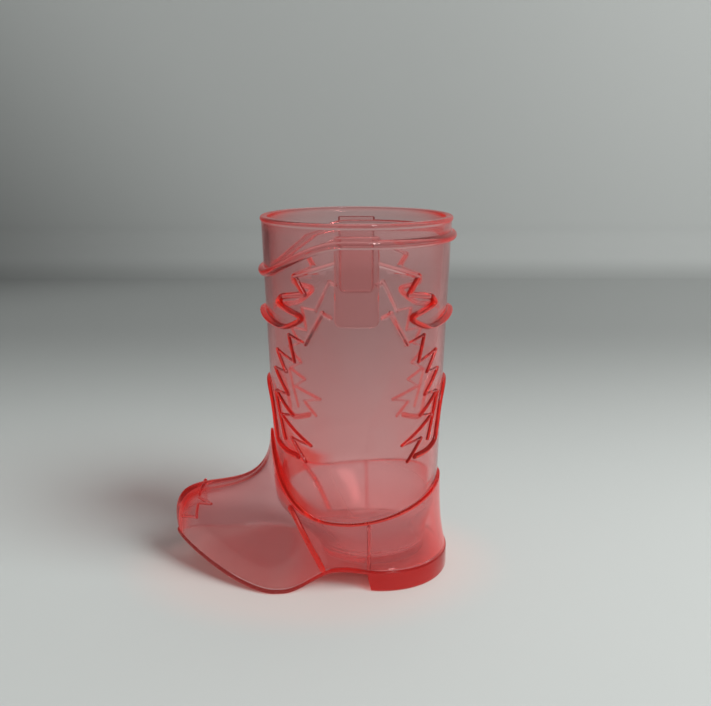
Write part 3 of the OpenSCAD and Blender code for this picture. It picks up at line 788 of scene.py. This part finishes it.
def clearPlastic(name):
    # painted light: edges glow red for the light caught inside the walls, and frost scatters
    # and, in the cup, gives a painted pale sheen
    p = {**plastic, **looks[name]}
    material = bpy.data.materials.new(name + "Plastic")
    material.use_nodes = True
    tree = material.node_tree
    tree.nodes.clear()
    link = tree.links.new
    shader = addNode(
        tree, "BsdfPrincipled", IOR=p["ior"], Transmission_Weight=p["clear"],
        Specular_Tint=(*p["gloss"], 1), Emission_Strength=p["paintedGlowStrength"],
    )
    through = addNode(tree, "BsdfTransparent", Color=(*p["shadow"], 1))
    tinted = addNode(tree, "VolumeAbsorption", Color=(*p["absorb"], 1), Density=p["density"])
    edge, frost = addNode(tree, "Attribute"), addNode(tree, "Attribute")
    edge.attribute_name = "edge"
    frost.attribute_name = "frost"
    skin = tree.nodes.new("ShaderNodeGroup")
    skin.node_tree = surfaceGroup
    for socket, key in (
        ("Ripple Scale", "rippleScale"), ("Rough", "rough"), ("Vary", "roughVary"),
        ("Edge Rough", "edgeRough"), ("Frost Rough", "frostRough"),
        ("Edge Tint", "edgeTint"), ("Tint Vary", "tintVary"),
    ):
        skin.inputs[socket].default_value = p[key]
    link(edge.outputs["Fac"], skin.inputs["Edge"])
    link(frost.outputs["Fac"], skin.inputs["Frost"])
    bump = addNode(tree, "Bump", Distance=p["rippleHeight"])
    # frost without a painted sheen of its own takes the wall's painted glow
    paintedWallGlow = [c / p["paintedGlowStrength"] for c in p["paintedWallGlow"]]
    paintedFrostSheen = [c / p["paintedGlowStrength"] for c in p.get("paintedFrostSheen", p["paintedWallGlow"])]
    # painted glow in the emission, and painted deeper red in the base colour, along the red glow share
    glow = mixedColour(tree, paintedWallGlow, p["glow"], edge.outputs["Fac"])
    link(mixedColour(tree, p["pale"], p["paintedDeepRed"], skin.outputs["Depth"]), shader.inputs["Base Color"])
    link(mixedColour(tree, glow, paintedFrostSheen, frost.outputs["Fac"]), shader.inputs["Emission Color"])
    link(skin.outputs["Roughness"], shader.inputs["Roughness"])
    link(skin.outputs["Height"], bump.inputs["Height"])
    link(bump.outputs["Normal"], shader.inputs["Normal"])
    # shadow rays go straight through, and diffuse rays for the most part
    light, share = addNode(tree, "LightPath"), addNode(tree, "Math")
    mix, out = addNode(tree, "MixShader"), addNode(tree, "OutputMaterial")
    share.operation = "MULTIPLY_ADD"
    share.inputs[1].default_value = p["diffuseThrough"]
    link(light.outputs["Is Diffuse Ray"], share.inputs[0])
    link(light.outputs["Is Shadow Ray"], share.inputs[2])
    link(share.outputs[0], mix.inputs["Fac"])
    link(shader.outputs[0], mix.inputs[1])
    link(through.outputs[0], mix.inputs[2])
    link(mix.outputs[0], out.inputs["Surface"])
    link(tinted.outputs[0], out.inputs["Volume"])
    return material


def addPiece(name, mesh, node, material):
    # a finished piece, in place of its node of the frame
    mesh.materials.clear()
    mesh.materials.append(material)
    mesh.shade_smooth()
    mesh.set_sharp_from_angle(angle=math.radians(plastic["sharpDeg"]))
    piece = linked(name, mesh)
    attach(piece, "root")
    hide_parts(node)
    print(name, "has", len(mesh.loops) - 2 * len(mesh.polygons), "triangles")


cupRaised = [[pullStrap(1), pullStrap(-1)], [collarBead()], *raisedStitching()]
cupMesh = unioned("shaftCup", cupBody(), cupRaised)
footMesh = unioned("footShell", footShell(), footSeams())
soleMesh = surfaceMesh("soleAndHeel", [soleAndHeel()])
addPiece("shaftCup", cupMesh, "shaft_cup", clearPlastic("cup"))
addPiece("footShell", footMesh, "foot_shell", clearPlastic("foot"))
addPiece("soleAndHeel", soleMesh, "sole_and_heel", clearPlastic("sole"))


# Camera at the photograph's place, in millimetres from the shaft's axis, and its focal length in pixels.
# The sensor is in millimetres too, and the clip distances are in metres.
camera = {
    "side": -0.2, "back": 177, "height": 92.7, "pitchDeg": 14.45, "focalPx": 870.6, "imageW": 711,
    "sensorW": 36, "clipNear": 0.005, "clipFar": 20,
}
lens = bpy.data.cameras.new("camera")
lens.sensor_width = camera["sensorW"]
lens.lens = camera["focalPx"] * camera["sensorW"] / camera["imageW"]
lens.clip_start = camera["clipNear"]
lens.clip_end = camera["clipFar"]
viewer = linked("camera", lens)
viewer.location = ((axisX + camera["side"]) * mm, -camera["back"] * mm, camera["height"] * mm)
viewer.rotation_euler = (math.radians(90 - camera["pitchDeg"]), 0, 0)
bpy.context.scene.camera = viewer
print("camera set")


# Floor and wall: one sheet with a soft cove between them, in metres
room = {
    "wallY": 0.40, "coveR": 0.03, "front": -1.4, "wide": 1.6, "tall": 1.4, "below": 0.0001,
    "floorRows": 12, "coveRows": 24, "wallRows": 12, "columns": 9,
    "colour": (0.60, 0.615, 0.605), "rough": 0.7,
    # half sizes of the painted pool of pink light round the foot, its tint, and where it fades, in half
    # sizes
    "paintedPool": (0.034, 0.025), "paintedPoolTint": (1.15, 1.0, 0.98), "paintedPoolFade": (0.85, 1.35),
    # painted shade: a direction, a stretch along it, and the shades at the two ends of the stretch
    "paintedShades": [
        ((0, 1, 0), (-0.01, 0.24), (1.0, 0.47)),
        ((0, 0, 1), (0.0, 0.012), (1.0, 1.3)),
        ((0, 0, 1), (0.01, 0.036), (0.95, 1.15)),
        ((1, -1.5, 0.9), (-0.96, -0.56), (0.33, 1.0)),
        ((1, 0, 0), (0.04, 0.25), (1.0, 1.1)),
    ],
}


def roomSheet():
    # a profile of floor, cove arc and wall, carried across the room
    r = room
    floorY = np.linspace(r["front"], r["wallY"] - r["coveR"], r["floorRows"])
    cove = arc((r["wallY"] - r["coveR"], r["coveR"]), r["coveR"], -90, 0, r["coveRows"])[1:]
    wallZ = np.linspace(r["coveR"], r["tall"], r["wallRows"])[1:]
    floor = np.stack([floorY, np.zeros_like(floorY)], -1)
    wall = np.stack([np.full_like(wallZ, r["wallY"]), wallZ], -1)
    profile = np.concatenate([floor, cove, wall])
    x = np.linspace(-r["wide"], r["wide"], r["columns"])
    points = np.stack(np.broadcast_arrays(x[None, :], profile[:, :1], profile[:, 1:] - r["below"]), -1)
    mesh = bpy.data.meshes.new("room")
    mesh.from_pydata(points.reshape(-1, 3).tolist(), [], gridFaces(*points.shape[:2]).tolist())
    mesh.shade_smooth()
    mesh.materials.append(roomPaper())
    linked("room", mesh)


def roomPaper():
    # pale paper with painted shade: darker to the back and the lower left, lighter up the wall and to the
    # right, as the product of all the room's painted shades
    material = bpy.data.materials.new("roomPaper")
    material.use_nodes = True
    tree = material.node_tree
    link = tree.links.new
    shader, place = tree.nodes["Principled BSDF"], addNode(tree, "TexCoord")
    shader.inputs["Roughness"].default_value = room["rough"]
    shade = None
    for way, (low, high), (lowShade, highShade) in room["paintedShades"]:
        along = addNode(tree, "VectorMath")
        along.operation = "DOT_PRODUCT"
        along.inputs[1].default_value = way
        link(place.outputs["Object"], along.inputs[0])
        ramp = addNode(tree, "MapRange", From_Min=low, From_Max=high, To_Min=lowShade, To_Max=highShade)
        ramp.interpolation_type = "SMOOTHSTEP"
        link(along.outputs["Value"], ramp.inputs["Value"])
        both = addNode(tree, "Math")
        both.operation = "MULTIPLY"
        both.inputs[1].default_value = 1
        link(ramp.outputs[0], both.inputs[0])
        if shade:
            link(shade, both.inputs[1])
        shade = both.outputs[0]
    tone = addNode(tree, "VectorMath")
    tone.operation = "SCALE"
    tone.inputs[0].default_value = room["colour"]
    link(shade, tone.inputs["Scale"])
    # painted pool of light: the paper is tinted round the foot, within an ellipse, as light through the
    # plastic would tint it
    reach, far = addNode(tree, "VectorMath"), addNode(tree, "VectorMath")
    reach.operation = "DIVIDE"
    reach.inputs[1].default_value = (*room["paintedPool"], room["tall"])
    far.operation = "LENGTH"
    fadeStart, fadeEnd = room["paintedPoolFade"]
    near = addNode(tree, "MapRange", From_Min=fadeStart, From_Max=fadeEnd, To_Min=1, To_Max=0)
    near.interpolation_type = "SMOOTHSTEP"
    tint = tree.nodes.new("ShaderNodeMix")
    tint.data_type = "RGBA"
    tint.blend_type = "MULTIPLY"
    tint.inputs["B"].default_value = (*room["paintedPoolTint"], 1)
    for wire, socket in (
        (place.outputs["Object"], reach.inputs[0]), (reach.outputs[0], far.inputs[0]),
        (far.outputs["Value"], near.inputs["Value"]), (near.outputs[0], tint.inputs["Factor"]),
        (tone.outputs[0], tint.inputs["A"]), (tint.outputs["Result"], shader.inputs["Base Color"]),
    ):
        link(wire, socket)
    return material


roomSheet()

# Soft light from the right, in front and above, with a dim even room round it. A lamp either gives
# glints on the plastic or lights the paper. Places and sizes are in metres.
lights = {
    "key": {
        "at": (0.7, -0.42, 0.84), "size": 0.6, "watts": 15.2, "colour": (0.985, 1, 0.985), "glints": False,
    },
    "spark": {
        "at": (0.36, -0.8, 0.78), "size": 0.2, "watts": 2.8, "colour": (1, 1, 1), "glints": True,
    },
}
for name, values in lights.items():
    data = bpy.data.lights.new(name, "AREA")
    data.shape = "DISK"
    data.size = values["size"]
    data.energy = values["watts"]
    data.color = values["colour"]
    lamp = linked(name, data)
    lamp.location = values["at"]
    lamp.rotation_euler = (-lamp.location).to_track_quat("-Z", "Y").to_euler()
    lamp.visible_glossy = values["glints"]
    lamp.visible_transmission = values["glints"]
    lamp.visible_diffuse = not values["glints"]

air = {"colour": (0.92, 0.96, 0.96), "strength": 0.22}
world = bpy.data.worlds.new("air")
bpy.context.scene.world = world
world.use_nodes = True
background = world.node_tree.nodes["Background"]
background.inputs["Color"].default_value = (*air["colour"], 1)
background.inputs["Strength"].default_value = air["strength"]

# Light has to pass many clear walls
bounces = {"all": 40, "clear": 36, "shadow": 40}
cycles = bpy.context.scene.cycles
cycles.max_bounces = bounces["all"]
cycles.transmission_bounces = bounces["clear"]
cycles.transparent_max_bounces = bounces["shadow"]
bpy.context.scene.view_settings.view_transform = "Standard"
print("stage and light set")
